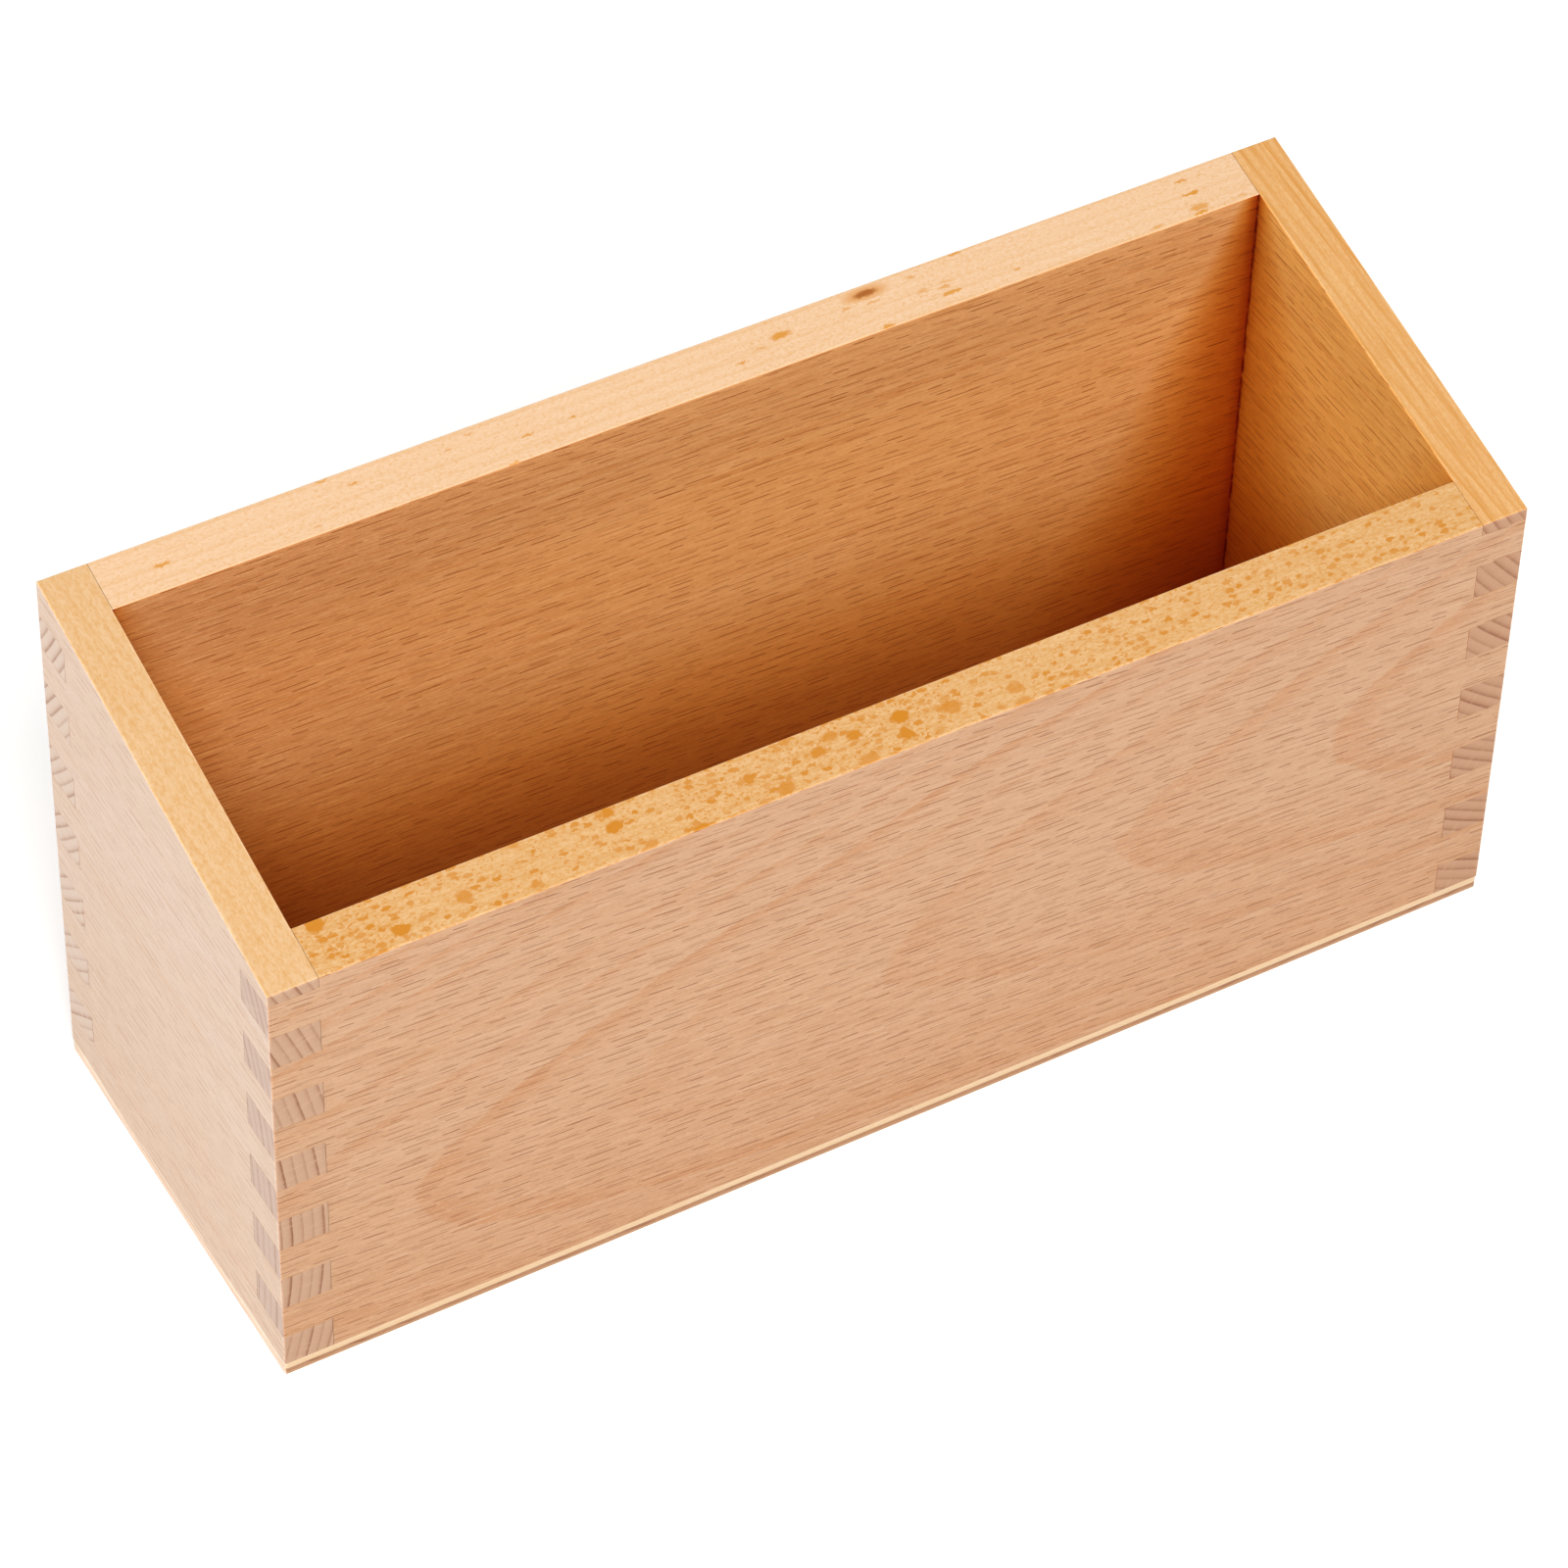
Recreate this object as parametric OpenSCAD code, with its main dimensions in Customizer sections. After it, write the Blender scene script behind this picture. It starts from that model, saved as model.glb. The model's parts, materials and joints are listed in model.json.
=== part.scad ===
// Open-topped wooden box for cards and small play things. Four beech boards meet at
// the corners in finger joints and stand on a thin plywood base of the same outline.
// The rim is planed on one slope, from the tall back down to the lower front.
// Origin: centre of the underside. +X runs along the box, +Y to the tall back, +Z up.

/* [Box] */
// Length over the two end boards
box_l = 257; // [180:1:340]
// Width over the front and back boards
box_w = 90; // [60:1:140]
// Height of the front edge of the rim above the table
front_h = 101; // [70:0.5:140]
// Rise of the rim from its front edge to its back edge
rim_rise = 21.5; // [0:0.5:40]

/* [Boards] */
// Thickness of the front and back boards
wall_t = 10.5; // [8:0.1:14]
// Thickness of the left and right end boards
end_t = 9.8; // [8:0.1:14]

/* [Finger joints] */
// Height of one finger
finger_h = 8; // [6:0.5:12]
// Depth planed off the lowest fingers before the base is glued on
finger_trim = 0.5; // [0:0.1:1]
// Gap between the end of a socket and the board it houses
shoulder_gap = 0.08; // [0.04:0.01:0.3]
// Glue line above each finger
cheek_gap = 0.05; // [0.02:0.01:0.1]

/* [Base] */
// Thickness of the veneer under the walls, the box's floor
top_ply_t = 1.4; // [0.8:0.1:2]
// Thickness of the cross-grained core veneer
core_ply_t = 0.9; // [0.6:0.1:2]
// Thickness of the veneer that the box stands on
bottom_ply_t = 0.7; // [0.6:0.1:2]
// Radius of the four corners of the base in plan
base_corner_r = 0.8; // [0.5:0.1:4]

/* [Eased edges] */
// Radius sanded on the outer corners and along the rim's outer edges
edge_r = 0.3; // [0.2:0.1:1.2]
// Radius sanded along the rim's inner edges
inner_edge_r = 0.2; // [0.1:0.1:0.6]
// Radius sanded around the underside of the base
foot_r = 0.2; // [0.1:0.1:0.5]

/* [Hidden] */
$fn = 48;

base_t = bottom_ply_t + core_ply_t + top_ply_t;
back_h = front_h + rim_rise;
slope = atan(rim_rise / box_w);
inner_l = box_l - 2 * end_t;
inner_w = box_w - 2 * wall_t;
finger_z0 = base_t - finger_trim;
finger_count = ceil((back_h - finger_z0) / finger_h);
over = 5;

wall_colour = "#deb28e";
end_colour = "#ebd4c0";
top_ply_colour = "#f0cfa4";
lower_ply_colour = "#b98e72";

// Height of the sloping rim plane above a point y across the box
function rim_z(y) = front_h + rim_rise * (y / box_w + 0.5);

// Rectangle centred on the origin with its four corners rounded
module round_rectangle(length, width, r) {
    square([length - 2 * r, width], center = true);
    square([length, width - 2 * r], center = true);
    for (x = [-1, 1], y = [-1, 1])
        translate([x * (length / 2 - r), y * (width / 2 - r)]) circle(r);
}

// Runs a Y-Z outline along the box, centred
module along_x(length) {
    rotate([90, 0, 90]) linear_extrude(length, center = true) children();
}

// Runs an X-Z outline across the box, centred
module along_y(length) {
    rotate([90, 0, 0]) linear_extrude(length, center = true) children();
}

// Frame of the rim: its X-Z plane stands square to the rim plane, its Y runs up the slope
module on_rim() {
    translate([0, 0, front_h + rim_rise / 2]) rotate([slope, 0, 0]) children();
}

// Y-Z outline of an end: upright front and back under the rim line, top edges eased
module end_outline() {
    y = box_w / 2 - edge_r;
    drop = edge_r / cos(slope);
    front_centre = [-y, rim_z(-y) - drop];
    back_centre = [y, rim_z(y) - drop];
    rim_normal = edge_r * [-sin(slope), cos(slope)];
    polygon([
        [-box_w / 2, 0],
        [box_w / 2, 0],
        [box_w / 2, back_centre.y],
        back_centre + rim_normal,
        front_centre + rim_normal,
        [-box_w / 2, front_centre.y]
    ]);
    translate(front_centre) circle(edge_r);
    translate(back_centre) circle(edge_r);
}

// Block that the four boards make together: rounded in plan, planed to the rim plane
// and eased along the rim's outer edges
module outer_block() {
    intersection() {
        translate([0, 0, base_t]) linear_extrude(back_h) round_rectangle(box_l, box_w, edge_r);
        along_x(box_l + 2 * over) end_outline();
        on_rim() along_y(box_w + 3 * back_h)
            translate([0, -back_h]) round_rectangle(box_l, 2 * back_h, edge_r);
    }
}

// Waste that easing takes off an inner rim edge of the given angle. The inner face hangs
// below the edge, with the wood at negative X, and the cutter passes clear of both faces.
module easing_waste(angle) {
    reach = inner_edge_r / tan(angle / 2);
    centre = [-inner_edge_r, -reach];
    rim_point = -reach * [sin(angle), cos(angle)];
    difference() {
        polygon([
            centre,
            [0, -reach],
            [over, -reach],
            [over, over],
            [rim_point.x, over],
            rim_point
        ]);
        translate(centre) circle(inner_edge_r);
    }
}

// Space inside the four boards, with the rim's inner edges eased
module cavity() {
    translate([-inner_l / 2, -inner_w / 2, 0]) cube([inner_l, inner_w, back_h + over]);
    along_x(inner_l) {
        translate([-inner_w / 2, rim_z(-inner_w / 2)]) easing_waste(90 - slope);
        translate([inner_w / 2, rim_z(inner_w / 2)]) mirror([1, 0]) easing_waste(90 + slope);
    }
    intersection() {
        on_rim() along_y(box_w + 2 * back_h) {
            translate([-inner_l / 2, 0]) easing_waste(90);
            translate([inner_l / 2, 0]) mirror([1, 0]) easing_waste(90);
        }
        translate([-box_l / 2, -inner_w / 2, 0]) cube([box_l, inner_w, back_h + over]);
    }
}

module glued_frame() {
    difference() {
        outer_block();
        cavity();
    }
}

// Blocks at every second place up a corner, from the given one, each clear of the next
module fingers(first, length, width) {
    for (k = [first : 2 : finger_count - 1])
        translate([0, 0, finger_z0 + k * finger_h])
            cube([length, width, finger_h - (k < finger_count - 1 ? cheek_gap : 0)]);
}

// Space that a front or back board fills, on the +Y side
module wall_space() {
    clear_l = inner_l - 2 * shoulder_gap;
    translate([-clear_l / 2, inner_w / 2, 0]) cube([clear_l, wall_t + over, back_h + over]);
    translate([-box_l / 2 - over, inner_w / 2, 0]) fingers(1, box_l + 2 * over, wall_t + over);
}

// Space that an end board fills, on the +X side
module end_space() {
    clear_w = inner_w - 2 * shoulder_gap;
    translate([inner_l / 2, -clear_w / 2, 0]) cube([end_t + over, clear_w, back_h + over]);
    translate([inner_l / 2, -box_w / 2 - over, 0]) fingers(0, end_t + over, box_w + 2 * over);
}

module front_wall() {
    color(wall_colour) intersection() {
        glued_frame();
        mirror([0, 1, 0]) wall_space();
    }
}

module back_wall() {
    color(wall_colour) intersection() {
        glued_frame();
        wall_space();
    }
}

module left_end() {
    color(end_colour) intersection() {
        glued_frame();
        mirror([1, 0, 0]) end_space();
    }
}

module right_end() {
    color(end_colour) intersection() {
        glued_frame();
        end_space();
    }
}

// One veneer of the plywood base, from height z
module veneer(z, thickness) {
    translate([0, 0, z])
        linear_extrude(thickness) round_rectangle(box_l, box_w, base_corner_r);
}

module base_top_veneer() {
    color(top_ply_colour) veneer(bottom_ply_t + core_ply_t, top_ply_t);
}

module base_core_veneer() {
    color(lower_ply_colour) veneer(bottom_ply_t, core_ply_t);
}

module base_bottom_veneer() {
    color(lower_ply_colour) intersection() {
        veneer(0, bottom_ply_t);
        along_x(box_l) translate([0, back_h]) round_rectangle(box_w, 2 * back_h, foot_r);
        along_y(box_w) translate([0, back_h]) round_rectangle(box_l, 2 * back_h, foot_r);
    }
}

front_wall();
back_wall();
left_end();
right_end();
base_top_veneer();
base_core_veneer();
base_bottom_veneer();
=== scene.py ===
"""Looks of the finger-jointed beech box: solid, procedural beech on every board and veneer."""

import json
import math
from dataclasses import dataclass
import bpy
from mathutils import Matrix, Vector


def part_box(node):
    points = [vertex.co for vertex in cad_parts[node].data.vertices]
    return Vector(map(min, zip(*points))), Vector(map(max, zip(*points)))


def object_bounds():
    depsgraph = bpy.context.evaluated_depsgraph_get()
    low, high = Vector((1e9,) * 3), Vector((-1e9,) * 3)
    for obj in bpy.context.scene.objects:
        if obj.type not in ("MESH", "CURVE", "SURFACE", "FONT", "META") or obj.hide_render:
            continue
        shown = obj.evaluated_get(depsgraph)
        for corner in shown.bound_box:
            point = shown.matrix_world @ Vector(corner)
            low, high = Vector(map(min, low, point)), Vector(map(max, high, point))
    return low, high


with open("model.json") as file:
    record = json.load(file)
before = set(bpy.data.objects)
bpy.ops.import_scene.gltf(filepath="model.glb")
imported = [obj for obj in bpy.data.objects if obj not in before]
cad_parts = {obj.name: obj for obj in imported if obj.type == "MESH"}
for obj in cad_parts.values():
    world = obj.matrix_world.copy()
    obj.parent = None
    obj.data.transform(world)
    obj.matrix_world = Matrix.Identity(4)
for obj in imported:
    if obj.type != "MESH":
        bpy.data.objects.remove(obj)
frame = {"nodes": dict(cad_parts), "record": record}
cad_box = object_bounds()
MM = 1000.0

# Inner faces of the end boards and of the front and back boards, from the box's middle, in mm
INNER_X = -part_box("left_end")[1][0] * MM
INNER_Y = -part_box("front_wall")[1][1] * MM
RIM_TOP = cad_box[1][2] * MM


# ---------------------------------------------------------------- node graph helpers

class Graph:
    """Builds one material's node tree. Plain numbers and fields can go into any input."""

    def __init__(self, material):
        material.use_nodes = True
        self.tree = material.node_tree
        self.tree.nodes.clear()

    def add(self, kind, inputs=(), **settings):
        node = self.tree.nodes.new(kind)
        for key, value in settings.items():
            setattr(node, key, value)
        for key, value in dict(inputs).items():
            self.feed(node.inputs[key], value)
        return node

    def feed(self, socket, value):
        if isinstance(value, Field):
            value = value.socket
        if isinstance(value, bpy.types.NodeSocket):
            self.tree.links.new(value, socket)
        else:
            socket.default_value = value

    def math(self, operation, *values):
        node = self.add("ShaderNodeMath", enumerate(values), operation=operation)
        return Field(self, node.outputs[0])

    def split(self, vector):
        node = self.add("ShaderNodeSeparateXYZ", {0: vector})
        return [Field(self, output) for output in node.outputs]

    def smooth(self, value, low, high):
        """0 at low, 1 at high, eased between."""
        node = self.add(
            "ShaderNodeMapRange",
            {"Value": value, "From Min": low, "From Max": high},
            interpolation_type="SMOOTHSTEP",
        )
        return Field(self, node.outputs["Result"])

    def point(self, x, y, z):
        return self.add("ShaderNodeCombineXYZ", {0: x, 1: y, 2: z}).outputs[0]

    def noise(self, x, y, z, detail=1.0, roughness=0.5):
        """Smooth noise around 0, mostly between -1 and 1, with features one unit across."""
        node = self.add(
            "ShaderNodeTexNoise",
            {"Vector": self.point(x, y, z), "Scale": 1.0, "Detail": detail, "Roughness": roughness},
        )
        return (Field(self, node.outputs["Fac"]) - 0.5) * 4.0

    def chances(self, x, y, z):
        """Three random numbers from 0 to 1 for each whole-numbered place."""
        node = self.add("ShaderNodeTexWhiteNoise", {"Vector": self.point(x, y, z)})
        return self.split(node.outputs["Color"])

    def chance(self, number):
        """One random number from 0 to 1 for each whole number."""
        node = self.add("ShaderNodeTexWhiteNoise", {"W": number}, noise_dimensions="1D")
        return Field(self, node.outputs["Value"])

    def blend(self, amount, under, over, kind="MIX"):
        """Colour that goes from under to over as amount goes from 0 to 1."""
        inputs = {0: amount, 6: under, 7: over}
        return self.add("ShaderNodeMix", inputs, data_type="RGBA", blend_type=kind).outputs[2]

    def scale(self, colour, factors):
        """The colour with each of its channels scaled."""
        return self.blend(1.0, colour, factors, "MULTIPLY")


class Field:
    """A number that varies over the surface, with ordinary arithmetic."""

    def __init__(self, graph, socket):
        self.graph = graph
        self.socket = socket

    def __add__(self, other):
        return self.graph.math("ADD", self, other)

    def __sub__(self, other):
        return self.graph.math("SUBTRACT", self, other)

    def __rsub__(self, other):
        return self.graph.math("SUBTRACT", other, self)

    def __mul__(self, other):
        return self.graph.math("MULTIPLY", self, other)

    def __truediv__(self, other):
        return self.graph.math("DIVIDE", self, other)

    def __abs__(self):
        return self.graph.math("ABSOLUTE", self)

    def floor(self):
        return self.graph.math("FLOOR", self)

    def fract(self):
        return self.graph.math("FRACT", self)

    def sqrt(self):
        return self.graph.math("SQRT", self)

    def least(self, other):
        return self.graph.math("MINIMUM", self, other)

    def most(self, other):
        return self.graph.math("MAXIMUM", self, other)


def srgb(red, green, blue):
    """Linear RGBA of a colour given as ordinary 0 to 255 display values."""
    def linear(value):
        value /= 255.0
        return value / 12.92 if value <= 0.04045 else ((value + 0.055) / 1.055) ** 2.4
    return (linear(red), linear(green), linear(blue), 1.0)


def times(colour, factors):
    """A plain colour with each of its channels scaled."""
    return tuple(c * f for c, f in zip(colour[:3], factors)) + (1.0,)


# ---------------------------------------------------------------- beech

# Frame axes that a board's grain, its thickness and its width run along
ALONG_BOX = ("X", "Y", "Z")
ACROSS_BOX = ("Y", "X", "Z")
VENEER_ALONG = ("X", "Z", "Y")
VENEER_ACROSS = ("Y", "Z", "X")

WHITE = (1.0, 1.0, 1.0, 1.0)

# Factors on red, green and blue where a sawn face has each of these
CLOUD = (0.95, 0.84, 0.66, 1.0)
WARM_FOOT = (0.92, 0.78, 0.60, 1.0)
# The next factor is painted shade towards a board's left end
LEFT_END_SHADE = (0.84, 0.64, 0.66, 1.0)
RING = (0.89, 0.65, 0.42, 1.0)
STREAK = (0.82, 0.64, 0.46, 1.0)
PALE_FIBRE = (1.12, 1.18, 1.24, 1.0)
DARK_FIBRE = (0.80, 0.66, 0.50, 1.0)
RAY_DASH = (0.40, 0.19, 0.07, 1.0)
# The next factor is painted shade on the inner faces just below the rim
PAINTED_RIM_SHADE = (0.85, 0.85, 0.93, 1.0)
# The next factor lightens eased edges: partly wear, partly painted highlight
WEAR_AND_HIGHLIGHT = (1.18, 1.21, 1.28, 1.0)

# The same for the planed rim
RIM_RING = (0.86, 0.68, 0.38)
RIM_STREAK = (0.80, 0.60, 0.30)
RIM_SPECK = (0.86, 0.64, 0.26)
FLAKE = (0.80, 0.46, 0.03)
SPOT_HALO = (0.80, 0.46, 0.10)
SPOT_CORE = (0.46, 0.20, 0.04)

# The same for end grain
END_BAND = (0.74, 0.58, 0.48)
END_LINE = (0.50, 0.32, 0.23)
END_RAY = (1.18, 1.22, 1.22)
END_PORE = (0.70, 0.58, 0.50)

# The same for one step of painted shade in the inner corners and low on the inner faces
PAINTED_SHADE_TINT = (0.47, 0.11, 0.005)

# Thin satin lacquer: its roughness, its gloss, and the relief of the grain under it in metres
ROUGHNESS = 0.48
GLOSS = 0.3
RELIEF = 0.00006

# Half the length and half the width of the dark fleck on a rim, in mm
SPOT_HALF = (3.4, 1.0)

# How far a surface turns to the board's end or rim before it starts to look like it, and wholly
# looks like it, where 1 is square on
TURNED = (0.55, 0.8)


@dataclass
class Board:
    """How one board was sawn from its log, and its looks.

    Places and lengths are in mm. A number without a note is a strength, 0 for none.
    """

    axes: tuple
    seed: float                 # makes its noise differ from the other boards'
    pith: tuple                 # centre of the log, through the thickness and up the width
    face: tuple                 # colour of the outer face
    rim: tuple                  # colour of the planed rim, or of a veneer's side edge
    end: tuple                  # colour of the end grain
    inner: tuple = None         # colour of the face inside the box, if it has one; it is more golden than the outer face partly as painted bounce light
    ring: float = 2.4           # width of a year's ring
    taper: float = 0.0          # growth of each ring's radius along the board
    lean: float = 0.0           # rise of the pith along the board
    phase: float = 0.0          # shifts the rings
    slope: float = 0.0          # fall of the ray dashes along the board
    grain: float = 1.0          # contrast of the fine fibre
    corners: float = 0.5        # strength of the painted shade and the dark seam in the inner corners
    streaks: float = 0.2        # darker streaks along the grain
    face_rings: float = 0.35
    rim_rings: float = 0.3
    rim_streaks: float = 0.2
    end_lines: float = 0.6
    end_bands: float = 0.5
    dashes: float = 1.0
    large_flakes: float = 0.0   # share of the rim's cells that hold a large flake
    large_until: float = 500.0  # place along the board where the large flakes thin out
    fine_flakes: float = 0.0
    flake_stretch: float = 1.0  # how much longer than usual the flakes are
    mottle: float = 0.3
    warm_foot: float = 0.0      # redder and darker towards the board's lower edge
    left_end_shade: float = 0.0      # darker and redder towards the board's left end: painted shade
    spot: tuple = None          # place of a small dark fleck on the rim


@dataclass
class Dashes:
    """One layer of ray dashes: the cell that holds one dash, and the longest dash, in mm."""

    cell_length: float
    cell_width: float
    length: float
    width: float


LONG_DASHES = Dashes(8.8, 1.8, 8.6, 0.25)
SHORT_DASHES = Dashes(6.1, 2.1, 5.2, 0.22)


@dataclass
class Wood:
    """Fields that a board's shading shares. Places are in mm."""

    along: Field
    depth: Field
    width: Field
    toward_end: Field           # how far the surface turns to the grain's direction, 0 to 1
    toward_rim: Field           # how far it turns to the width's direction, 0 to 1
    across: Field = None        # width, measured square to the slightly sloping grain
    line: Field = None          # thin late line of a year's ring
    band: Field = None          # broad band of a year's ring
    fibre: Field = None
    grit: Field = None
    below_rim: Field = None     # distance down from the rim's slope
    wear_and_highlight: Field = None          # 1 on eased edges, which get wear and a painted highlight


def measure(g, board):
    """Place and facing along the board's own directions, and the place in the frame in mm."""
    place = g.split(g.add("ShaderNodeTexCoord").outputs["Object"])
    normal = g.split(g.add("ShaderNodeNewGeometry").outputs["Normal"])
    order = ["XYZ".index(axis) for axis in board.axes]
    where = [place[i] * MM for i in order]
    facing = [abs(normal[i]) for i in order]
    wood = Wood(*where, facing[0], facing[2])
    wood.across = wood.width + wood.along * board.slope
    return wood, [axis * MM for axis in place]


def add_rings(g, board, wood):
    """Year rings about a pith line that leans and wanders: thin late lines, broad bands."""
    sweep = g.noise(wood.along / 90.0 + board.seed, wood.width / 60.0, wood.depth / 60.0)
    wander = g.noise(wood.along / 16.0, wood.width / 7.0 + board.seed, wood.depth / 12.0, 2.0)
    depth = wood.depth - board.pith[0]
    height = wood.width - wood.along * board.lean - board.pith[1]
    radius = (depth * depth + height * height).sqrt() - wood.along * board.taper
    count = (radius + sweep * 0.45 + wander * 0.10) / board.ring + board.phase
    turn = count.fract()
    strength = g.chance(count.floor())
    edge = 1.0 - g.smooth(turn, 0.965, 1.0)
    wood.line = g.smooth(turn, 0.66, 0.90) * edge * (strength * 0.75 + 0.25)
    wood.band = g.smooth(turn, 0.25, 0.95) * edge * (strength * 0.7 + 0.3)


def add_fibre(g, board, wood):
    """Fine fibre along the grain, and grit across it."""
    seed = board.seed
    wood.fibre = g.noise(wood.along / 12.0, wood.across / 0.30, wood.depth / 0.30 + seed, 1.0, 0.6)
    wood.grit = g.noise(wood.along / 0.8, wood.width / 0.40, wood.depth / 0.40 + seed, 1.0, 0.6)


def add_wear_and_highlight(g, board, wood, place):
    """Where hands and sandpaper ease the box's outer edges and the rim's inner ones, which are
    lightened as wear and painted highlight.
    """
    high = Vector(cad_box[1]) * MM
    front_top = Vector(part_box("front_wall")[1]) * MM
    rise = (high.z - front_top.z) / (high.y - front_top.y)
    x, y, z = place
    to_end = high.x - abs(x)
    to_side = high.y - abs(y)
    to_rim = high.z - (high.y - y) * rise - z
    wood.below_rim = to_rim
    outer = to_end.least(to_side).most(to_rim.least(to_end.most(to_side)))
    past_wall = abs(y) - INNER_Y
    if board.axes == ACROSS_BOX:
        inner = abs(abs(x) - INNER_X).most(to_rim).most(past_wall)
    else:
        inner = abs(past_wall).most(to_rim)
    ragged = g.noise(x / 3.0, y / 3.0, z / 3.0) * 0.12
    wood.wear_and_highlight = 1.0 - g.smooth(outer.least(inner) + ragged, 0.12, 0.50)


def ray_dashes(g, wood, dashes, start):
    """Ends of the wood's rays on a sawn face: fine dark dashes along the grain, 0 to 1."""
    drift = g.noise(wood.along / 50.0 + start, wood.width / 18.0, wood.depth / 18.0) * 0.6
    row = (wood.across + drift) / dashes.cell_width + start
    layer = (wood.depth / 5.0 + start).floor()
    row_number = row.floor()
    column = wood.along / dashes.cell_length + g.chance(row_number + layer * 37.0) * 9.0
    size, shift, lift = g.chances(column.floor(), row_number, layer)
    half = (size * 0.65 + 0.35) * dashes.length / 2.0
    slack = dashes.cell_length - half * 2.0
    from_centre = (column.fract() - 0.5) * dashes.cell_length - (shift - 0.5) * slack
    from_row = (row.fract() - 0.5 - (lift - 0.5) * 0.55) * dashes.cell_width
    x = from_centre / half
    y = from_row / dashes.width * 2.0
    body = (1.0 - g.smooth(x * x, 0.45, 1.0)) * (1.0 - g.smooth(abs(y), 0.3, 1.3))
    return body * (((size + shift + lift) * 5.0).fract() * 0.6 + 0.4)


def corner_reach(board):
    """Distance along a board from the box's middle to its inner corners."""
    return INNER_X if board.axes == ALONG_BOX else INNER_Y


def face_reach(board):
    """Distance through a board's thickness from the box's middle to its inner face."""
    return INNER_Y if board.axes == ALONG_BOX else INNER_X


def face_tone(g, board, wood, dash):
    """Factors on a sawn face's colour: clouds, rings, streaks, fine fibre and ray dashes."""
    seed = board.seed
    cloud = g.noise(wood.along / 48.0, wood.width / 16.0, wood.depth / 16.0 + seed, 2.0)
    tone = g.blend(g.smooth(cloud, -1.0, 1.2) * 0.35, WHITE, CLOUD)
    foot = 1.0 - g.smooth(wood.width, 2.0, 60.0)
    tone = g.blend(foot * board.warm_foot, tone, WARM_FOOT)
    # Painted shade towards the board's left end
    left = 1.0 - g.smooth(wood.along, -110.0, 20.0)
    tone = g.blend(left * board.left_end_shade, tone, LEFT_END_SHADE)

    broken = g.smooth(g.noise(wood.along / 9.0, wood.width / 2.5, seed), -1.0, 0.8) * 0.6 + 0.5
    rings = (wood.line * 0.6 + wood.band * 0.4) * board.face_rings * broken
    tone = g.blend(rings, tone, RING)
    streak = g.noise(wood.along / 70.0 + seed, wood.across / 1.5, wood.depth / 1.5, 2.0, 0.6)
    tone = g.blend(g.smooth(streak, -0.5, 1.5) * board.streaks, tone, STREAK)

    fine = wood.fibre + wood.grit * 0.4
    pale = 1.0 - g.smooth(fine, -1.2, 0.2)
    tone = g.blend(pale * 0.7 * board.grain, tone, PALE_FIBRE)
    dark = g.smooth(fine, 0.0, 1.3)
    tone = g.blend(dark * 0.7 * board.grain, tone, DARK_FIBRE)
    return g.blend(dash, tone, RAY_DASH)


def painted_shade_and_seam(g, board, wood, off_face, inside):
    """Painted shade in the box's inner corners, widening downwards, and low on its inner faces, with
    a dark seam right in each corner.
    """
    from_corner = (corner_reach(board) - abs(wood.along)).most(off_face * 9.0)
    broken = g.smooth(g.noise(wood.width / 3.0, board.seed, 0.0), -0.6, 0.2)
    seam = (1.0 - g.smooth(from_corner, 0.2, 0.6)) * broken
    # The painted corner shade reaches further from the corner lower down
    spread = ((RIM_TOP - wood.width) * 0.5).most(0.0) + 3.0
    fade = g.math("POWER", (1.0 - from_corner / spread).most(0.0), 1.3)
    corner = fade * 0.8 + (1.0 - g.smooth(from_corner, 0.0, 3.0)) * 0.3 + seam
    # More painted corner shade towards the right end
    more_on_right = g.smooth(wood.along, -60.0, 60.0) * 0.7 + 0.3
    # Painted shade low on the inner faces
    low = 1.0 - g.smooth(wood.width, 20.0, 70.0)
    return low * inside * 0.36 + corner * more_on_right * board.corners


def face_colour(g, board, wood, dash):
    """Sawn face: golden inside the box, partly as painted bounce light, and paler outside, with
    painted shade below the rim and in the inner corners, and dark corner seams.
    """
    off_face = abs(abs(wood.depth) - face_reach(board))
    inside = 1.0 - g.smooth(off_face, 0.5, 3.0)
    # Painted shade on the inner faces from 4 to 32 mm below the rim
    painted_rim_shade = (1.0 - g.smooth(wood.below_rim, 4.0, 32.0)) * inside
    tone = g.scale(face_tone(g, board, wood, dash), g.blend(painted_rim_shade, WHITE, PAINTED_RIM_SHADE))
    # The more golden inner colour is partly painted bounce light
    colour = g.scale(tone, g.blend(inside, board.face, board.inner or board.face))
    # Painted shade in the inner corners and low on the inner faces, and the dark corner seams
    painted_shade_depth = painted_shade_and_seam(g, board, wood, off_face, inside)
    return g.scale(colour, g.point(*(g.math("POWER", share, painted_shade_depth) for share in PAINTED_SHADE_TINT)))


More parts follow.
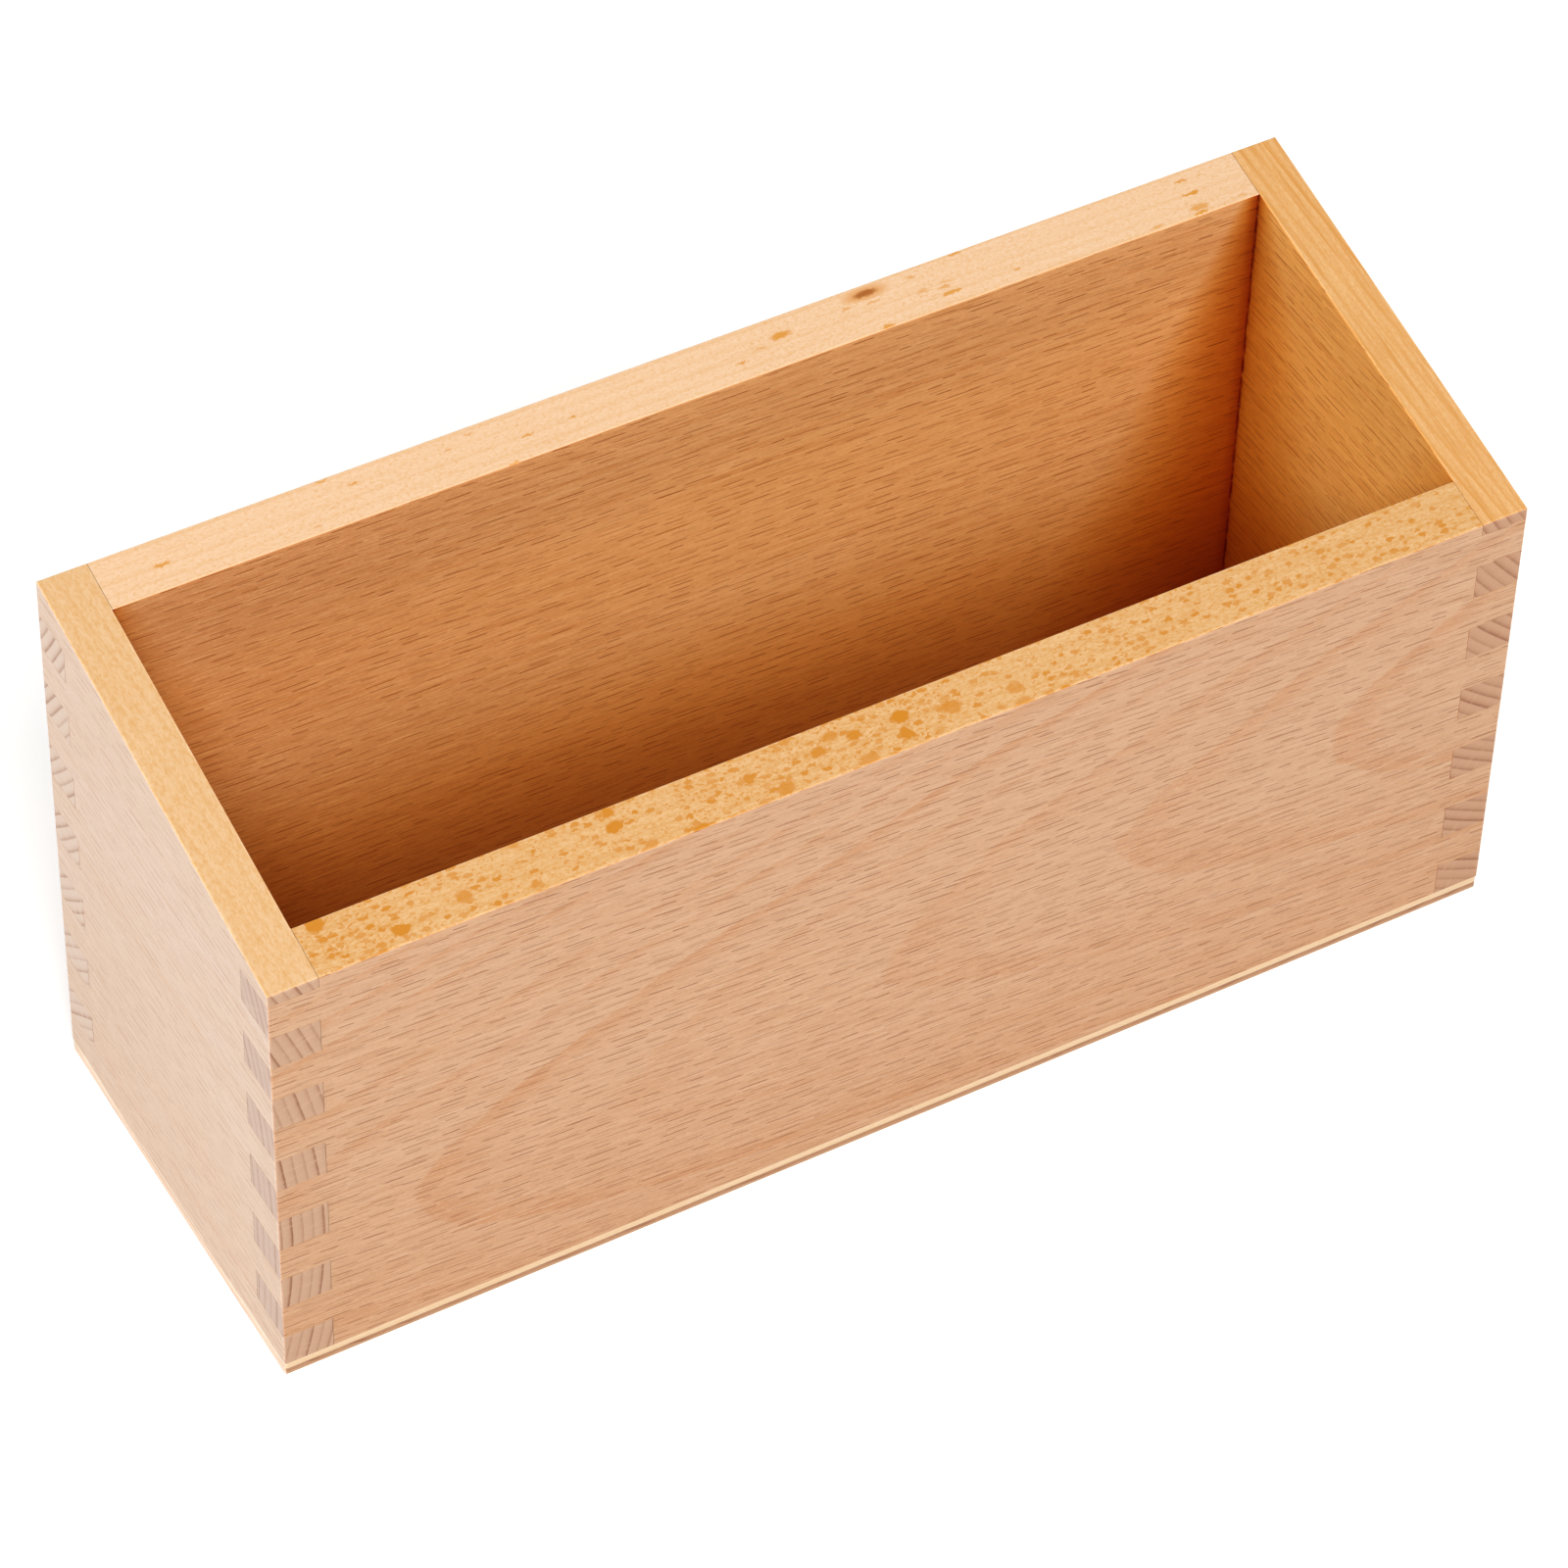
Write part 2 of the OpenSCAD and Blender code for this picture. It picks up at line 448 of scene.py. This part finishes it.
def flakes(g, board, wood):
    """Ray flakes on the planed rim: soft-edged patches from specks to 4 mm across, 0 to 1."""
    seed = board.seed
    along, depth = wood.along, wood.depth
    ruffle_along = g.noise(along / 0.9, depth / 0.9, seed, 2.0) * 0.40
    ruffle_depth = g.noise(along / 0.9, depth / 0.9, seed + 5.0, 2.0) * 0.30
    crowd = g.noise(along / 30.0, depth / 30.0, seed + 9.0)

    def patches(length, width, share, start):
        x = (along + ruffle_along) / (length * board.flake_stretch)
        y = (depth + ruffle_depth) / width
        voronoi = g.add("ShaderNodeTexVoronoi", {"Vector": g.point(x, y, start), "Scale": 1.0})
        chance = g.split(voronoi.outputs["Color"])
        grown = (chance[0] + crowd * 0.12 + share - 1.0).most(0.0) * 1.4
        reach = Field(g, voronoi.outputs["Distance"]) - grown.least(0.45)
        soft = 1.0 - g.smooth(reach, -0.10, 0.06)
        return soft * g.smooth(grown, 0.02, 0.10) * (chance[1] * 0.4 + 0.6)

    thinning = 1.0 - g.smooth(along, board.large_until - 30.0, board.large_until + 30.0)
    large = patches(4.4, 3.2, thinning * board.large_flakes, seed)
    fine = patches(2.2, 1.1, board.fine_flakes, seed + 4.7)
    dots = g.noise(along / 0.62, depth / 0.50, seed + 2.0, 1.0)
    dots = g.smooth(dots + crowd * 0.15, 0.35, 0.9) * board.fine_flakes
    return large.most(fine * 0.9).most(dots * (thinning * 0.6 + 0.6))


def rim_colour(g, board, wood):
    """Planed rim: golden, with lengthwise streaks, mottling and ray flakes."""
    seed, rim = board.seed, board.rim
    along, depth = wood.along, wood.depth
    rings = (wood.band * 0.7 + wood.line * 0.5) * board.rim_rings
    colour = g.blend(rings, rim, times(rim, RIM_RING))
    streak = g.noise(along / 18.0 + seed, (depth + along * 0.02) / 1.0, 0.0, 2.0, 0.6)
    streaks = g.smooth(streak, -0.6, 1.4) * board.rim_streaks
    colour = g.blend(streaks, colour, times(rim, RIM_STREAK))
    speck = g.noise(along / 1.0, depth / 0.45, seed, 2.0, 0.75)
    colour = g.blend(g.smooth(speck, -0.6, 1.0) * board.mottle, colour, times(rim, RIM_SPECK))
    if board.large_flakes or board.fine_flakes:
        colour = g.blend(flakes(g, board, wood), colour, times(rim, FLAKE))
    if board.spot:
        x = (along - board.spot[0]) / SPOT_HALF[0]
        y = (depth - board.spot[1] + speck * 0.25) / SPOT_HALF[1]
        reach = x * x + y * y
        halo = 1.0 - g.smooth(reach, 0.3, 3.0)
        colour = g.blend(halo * 0.7, colour, times(rim, SPOT_HALO))
        core = 1.0 - g.smooth(reach, 0.1, 0.8)
        colour = g.blend(core, colour, times(rim, SPOT_CORE))
    return colour


def end_colour(g, board, wood):
    """End grain: greyer, with ring bands and lines, fine rays and pores."""
    depth = wood.depth - board.pith[0]
    height = wood.width - board.pith[1]
    spoke = g.math("ARCTAN2", height, depth) * 100.0
    rays = g.noise(spoke / 0.5, (abs(depth) + abs(height)) / 5.0, board.seed)
    pores = g.noise(wood.width / 0.22, wood.depth / 0.22, board.seed)
    colour = g.blend(wood.band * board.end_bands, board.end, times(board.end, END_BAND))
    colour = g.blend(wood.line * board.end_lines, colour, times(board.end, END_LINE))
    colour = g.blend(g.smooth(rays, 0.0, 1.4) * 0.50, colour, times(board.end, END_RAY))
    return g.blend(g.smooth(pores, 0.0, 1.4) * 0.45, colour, times(board.end, END_PORE))


def beech(name, board):
    """Solid beech, all from the place in the board and the way the surface faces."""
    material = bpy.data.materials.new(name)
    g = Graph(material)
    wood, place = measure(g, board)
    add_rings(g, board, wood)
    add_fibre(g, board, wood)
    add_wear_and_highlight(g, board, wood, place)
    long = ray_dashes(g, wood, LONG_DASHES, board.seed)
    short = ray_dashes(g, wood, SHORT_DASHES, board.seed + 3.7)
    dash = long.most(short * 0.6) * board.dashes

    on_end = g.smooth(wood.toward_end, *TURNED)
    on_rim = g.smooth(wood.toward_rim, *TURNED)
    colour = g.blend(on_rim, face_colour(g, board, wood, dash), rim_colour(g, board, wood))
    colour = g.blend(on_end, colour, end_colour(g, board, wood))
    # Eased edges lighter: partly wear, partly painted highlight
    colour = g.blend(wood.wear_and_highlight * 0.8, colour, g.scale(colour, WEAR_AND_HIGHLIGHT))

    flat = (1.0 - on_end) * (1.0 - on_rim)
    rough = (wood.fibre + wood.grit) * 0.02 + ROUGHNESS + on_end * 0.14 - wood.wear_and_highlight * 0.08
    height = wood.fibre * 0.4 + wood.grit * 0.3 - dash * flat * 0.6
    bump = g.add("ShaderNodeBump", {"Height": height, "Strength": 0.2, "Distance": RELIEF})
    shader = g.add(
        "ShaderNodeBsdfPrincipled",
        {
            "Base Color": colour,
            "Roughness": rough,
            "Specular IOR Level": GLOSS,
            "Normal": bump.outputs[0],
        },
    )
    g.add("ShaderNodeOutputMaterial", {"Surface": shader.outputs[0]})
    return material


BOARDS = {
    "front_wall": Board(
        ALONG_BOX, seed=1.7, pith=(105.0, 45.3),
        face=srgb(175, 138, 108), inner=srgb(209, 153, 95),
        rim=srgb(209, 171, 124), end=srgb(171, 147, 133),
        taper=0.05, lean=0.13, phase=305.33, slope=0.05,
        grain=1.1, streaks=0.1, face_rings=0.72, dashes=0.95, warm_foot=0.45,
        rim_streaks=0.5, large_flakes=0.55, large_until=60.0, fine_flakes=0.68, mottle=0.85,
        end_lines=0.5, end_bands=0.4,
    ),
    "back_wall": Board(
        ALONG_BOX, seed=5.1, pith=(190.0, 210.0),
        face=srgb(192, 155, 121), inner=srgb(216, 158, 98),
        rim=srgb(220, 188, 157), end=srgb(183, 162, 147),
        slope=0.02,
        grain=1.2, corners=1.0, streaks=0.9, face_rings=0.2, left_end_shade=0.6,
        large_flakes=0.09, fine_flakes=0.24, flake_stretch=2.2, mottle=0.45, spot=(38.0, 43.0),
        end_lines=0.7, end_bands=0.6,
    ),
    "left_end": Board(
        ACROSS_BOX, seed=9.4, pith=(-258.0, 38.0), ring=2.1,
        # Its outer face is paler and greyer than the other boards' partly as painted sheen
        face=srgb(184, 161, 144), inner=srgb(226, 166, 92),
        rim=srgb(212, 177, 136), end=srgb(168, 135, 111),
        grain=0.7, face_rings=0.3, dashes=0.6, warm_foot=0.3,
        mottle=0.65,
        end_lines=0.95, end_bands=0.6,
    ),
    "right_end": Board(
        ACROSS_BOX, seed=13.9, pith=(186.0, 137.0),
        face=srgb(198, 165, 135), inner=srgb(236, 173, 86),
        rim=srgb(214, 170, 117), end=srgb(165, 127, 100),
        streaks=0.7,
        rim_rings=1.0, rim_streaks=1.0, mottle=0.6,
        end_lines=0.7, end_bands=0.9,
    ),
    "top_veneer": Board(
        VENEER_ALONG, seed=17.2, pith=(400.0, 0.0),
        face=srgb(219, 177, 137), rim=srgb(201, 179, 152), end=srgb(206, 188, 168),
    ),
    "core_veneer": Board(
        VENEER_ACROSS, seed=21.6, pith=(400.0, 0.0),
        face=srgb(177, 137, 110), rim=srgb(206, 180, 162), end=srgb(153, 113, 84),
    ),
    "bottom_veneer": Board(
        VENEER_ALONG, seed=25.3, pith=(400.0, 0.0),
        face=srgb(181, 143, 114), rim=srgb(164, 130, 101), end=srgb(206, 184, 168),
    ),
}


def dress():
    """Gives every CAD node the beech of its material slot."""
    made = {slot: beech(slot, board) for slot, board in BOARDS.items()}
    for entry in frame["record"]["subparts"]:
        node = frame["nodes"][entry["node"]]
        node.material_slots[0].material = made[entry["material_slot"]]


# ---------------------------------------------------------------- stage, light, camera

# Side of the square floor in metres, and its glow
FLOOR_SIDE = 12.0
FLOOR_GLOW = 0.14

STUDIO_COLOUR = (0.97, 0.985, 1.0, 1.0)
STUDIO_STRENGTH = 0.485
WARM = (1.0, 0.95, 0.87)
COOL = (0.96, 0.98, 1.0)

# Camera: its direction and roll in degrees, and its lens in mm. It stands DISTANCE metres
# from a point that lies AIM_FROM_MIDDLE metres from the box's middle.
AZIMUTH = -30.585
ELEVATION = 45.855
ROLL = 1.8
DISTANCE = 1.2364
AIM_FROM_MIDDLE = (-0.0039, -0.0043, -0.0055)
LENS_MM = 153.69
SENSOR_MM = 36.0


def floor():
    """A pale floor, wide enough to fill every view, that glows a little like a light table."""
    half = FLOOR_SIDE / 2
    mesh = bpy.data.meshes.new("floor")
    corners = [(-half, -half, 0), (half, -half, 0), (half, half, 0), (-half, half, 0)]
    mesh.from_pydata(corners, [], [(0, 1, 2, 3)])
    plane = bpy.data.objects.new("floor", mesh)
    bpy.context.scene.collection.objects.link(plane)
    material = bpy.data.materials.new("pale_floor")
    g = Graph(material)
    shader = g.add(
        "ShaderNodeBsdfPrincipled",
        {
            "Base Color": (0.98, 0.99, 1.0, 1.0),
            "Roughness": 0.9,
            "Specular IOR Level": 0.0,
            "Emission Color": WHITE,
            "Emission Strength": FLOOR_GLOW,
        },
    )
    g.add("ShaderNodeOutputMaterial", {"Surface": shader.outputs[0]})
    mesh.materials.append(material)


def softbox(name, place, aim_height, size, power, colour):
    """A square light that faces the point aim_height above the origin. Power is in watts."""
    light = bpy.data.lights.new(name, "AREA")
    light.shape = "SQUARE"
    light.size = size
    light.energy = power
    light.color = colour
    lamp = bpy.data.objects.new(name, light)
    lamp.location = place
    beam = Vector((0, 0, aim_height)) - Vector(place)
    lamp.rotation_euler = beam.to_track_quat("-Z", "Y").to_euler()
    bpy.context.scene.collection.objects.link(lamp)


def lights():
    """Even white surroundings, warm softboxes above the front, a cool fill on the left."""
    world = bpy.data.worlds.new("studio")
    world.use_nodes = True
    background = world.node_tree.nodes["Background"]
    background.inputs["Color"].default_value = STUDIO_COLOUR
    background.inputs["Strength"].default_value = STUDIO_STRENGTH
    bpy.context.scene.world = world
    softbox("key_left", (-0.85, -1.75, 2.2), aim_height=0.05, size=1.1, power=62.0, colour=WARM)
    softbox("key_right", (0.75, -1.95, 1.6), aim_height=0.05, size=1.3, power=22.0, colour=WARM)
    softbox("fill", (-1.6, 0.1, 0.35), aim_height=0.08, size=0.6, power=12.5, colour=COOL)


def camera():
    """Looks down into the box from the left of its low front."""
    azimuth, elevation, roll = (math.radians(angle) for angle in (AZIMUTH, ELEVATION, ROLL))
    forward = Vector((
        -math.sin(azimuth) * math.cos(elevation),
        math.cos(azimuth) * math.cos(elevation),
        -math.sin(elevation),
    ))
    level_right = forward.cross(Vector((0, 0, 1))).normalized()
    level_up = level_right.cross(forward)
    right = level_right * math.cos(roll) + level_up * math.sin(roll)
    up = level_up * math.cos(roll) - level_right * math.sin(roll)
    middle = (Vector(cad_box[0]) + Vector(cad_box[1])) / 2
    place = middle + Vector(AIM_FROM_MIDDLE) - forward * DISTANCE
    data = bpy.data.cameras.new("camera")
    data.sensor_width = SENSOR_MM
    data.lens = LENS_MM
    data.clip_end = 50.0
    eye = bpy.data.objects.new("camera", data)
    eye.matrix_world = Matrix.Translation(place) @ Matrix((right, up, -forward)).transposed().to_4x4()
    bpy.context.scene.collection.objects.link(eye)
    bpy.context.scene.camera = eye


camera()
dress()
floor()
lights()
bpy.context.scene.view_settings.view_transform = "Standard"
